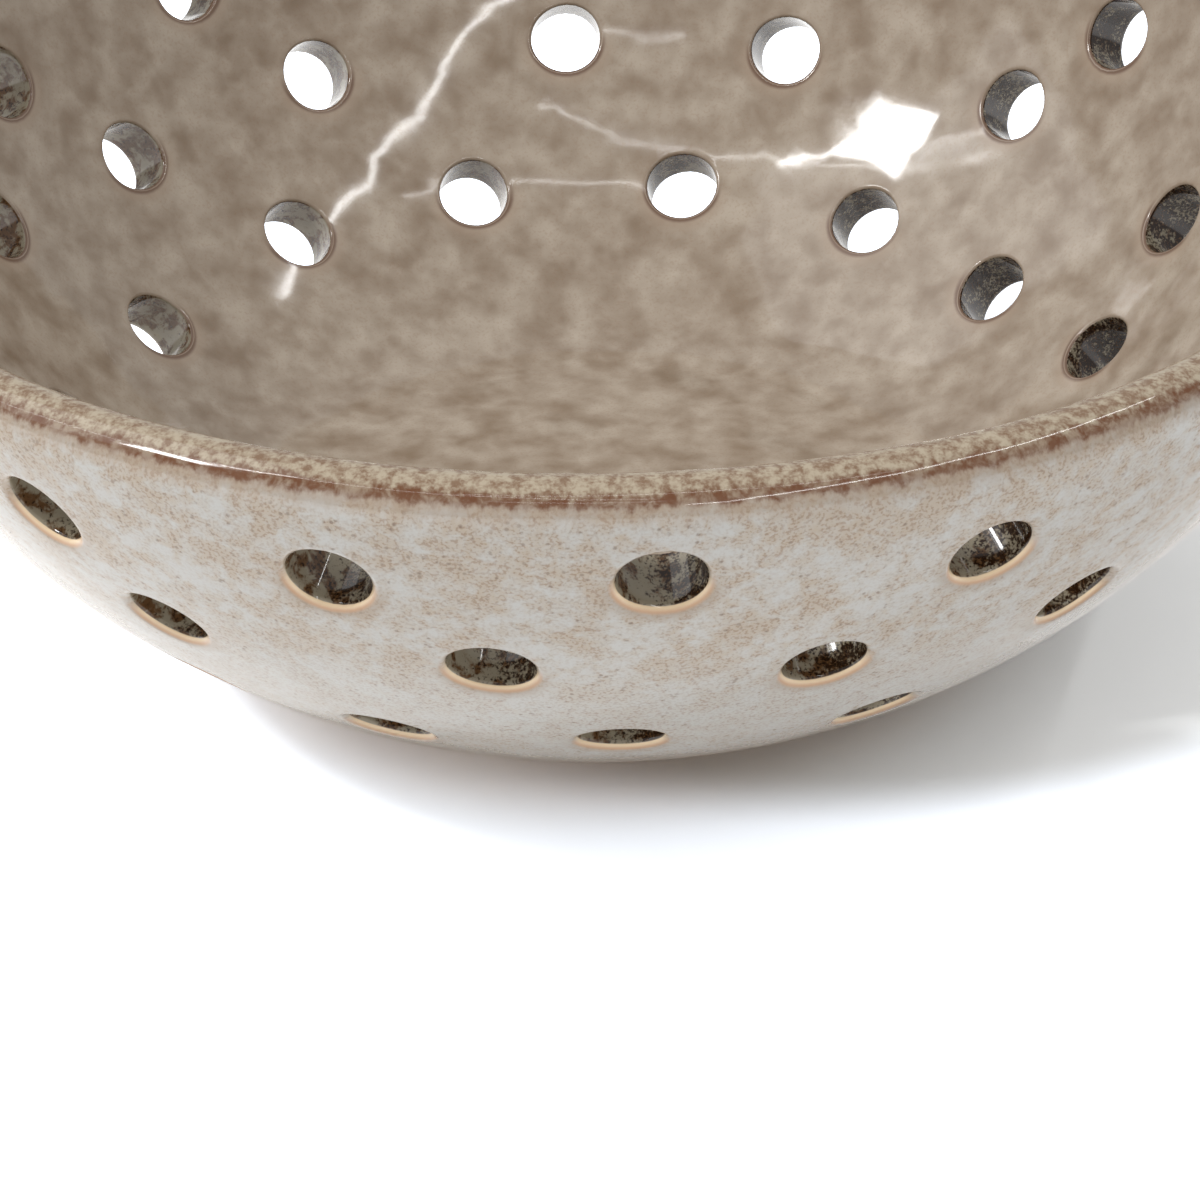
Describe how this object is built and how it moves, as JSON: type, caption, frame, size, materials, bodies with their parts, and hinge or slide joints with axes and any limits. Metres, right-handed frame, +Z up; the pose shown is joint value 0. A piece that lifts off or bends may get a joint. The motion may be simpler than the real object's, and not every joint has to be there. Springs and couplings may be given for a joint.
{
  "type": "berry bowl",
  "caption": "Shallow round stoneware bowl on a low foot ring, its wall pierced by staggered rows of drain holes, for rinsing and serving berries.",
  "frame": {"origin": "on the table, under the middle of the bowl", "axes": "+Z up along the axis of the bowl, -Y towards the front of the picture, +X to its right"},
  "size_m": [0.166, 0.166, 0.0575],
  "materials": {
    "clay": "bare fired stoneware",
    "foot_clay": "bare fired stoneware, wiped smooth",
    "outer_glaze": "glossy speckled",
    "inner_glaze": "glossy mottled",
    "rim_glaze": "glossy, breaking brown",
    "hole_glaze": "glossy, toasted at the mouth"
  },
  "bodies": {
    "root": {"bowl_body": "clay", "foot_ring": "foot_clay", "outer_glaze": "outer_glaze", "inner_glaze": "inner_glaze", "rim_glaze": "rim_glaze", "hole_glaze": "hole_glaze"}
  },
  "joints": []
}
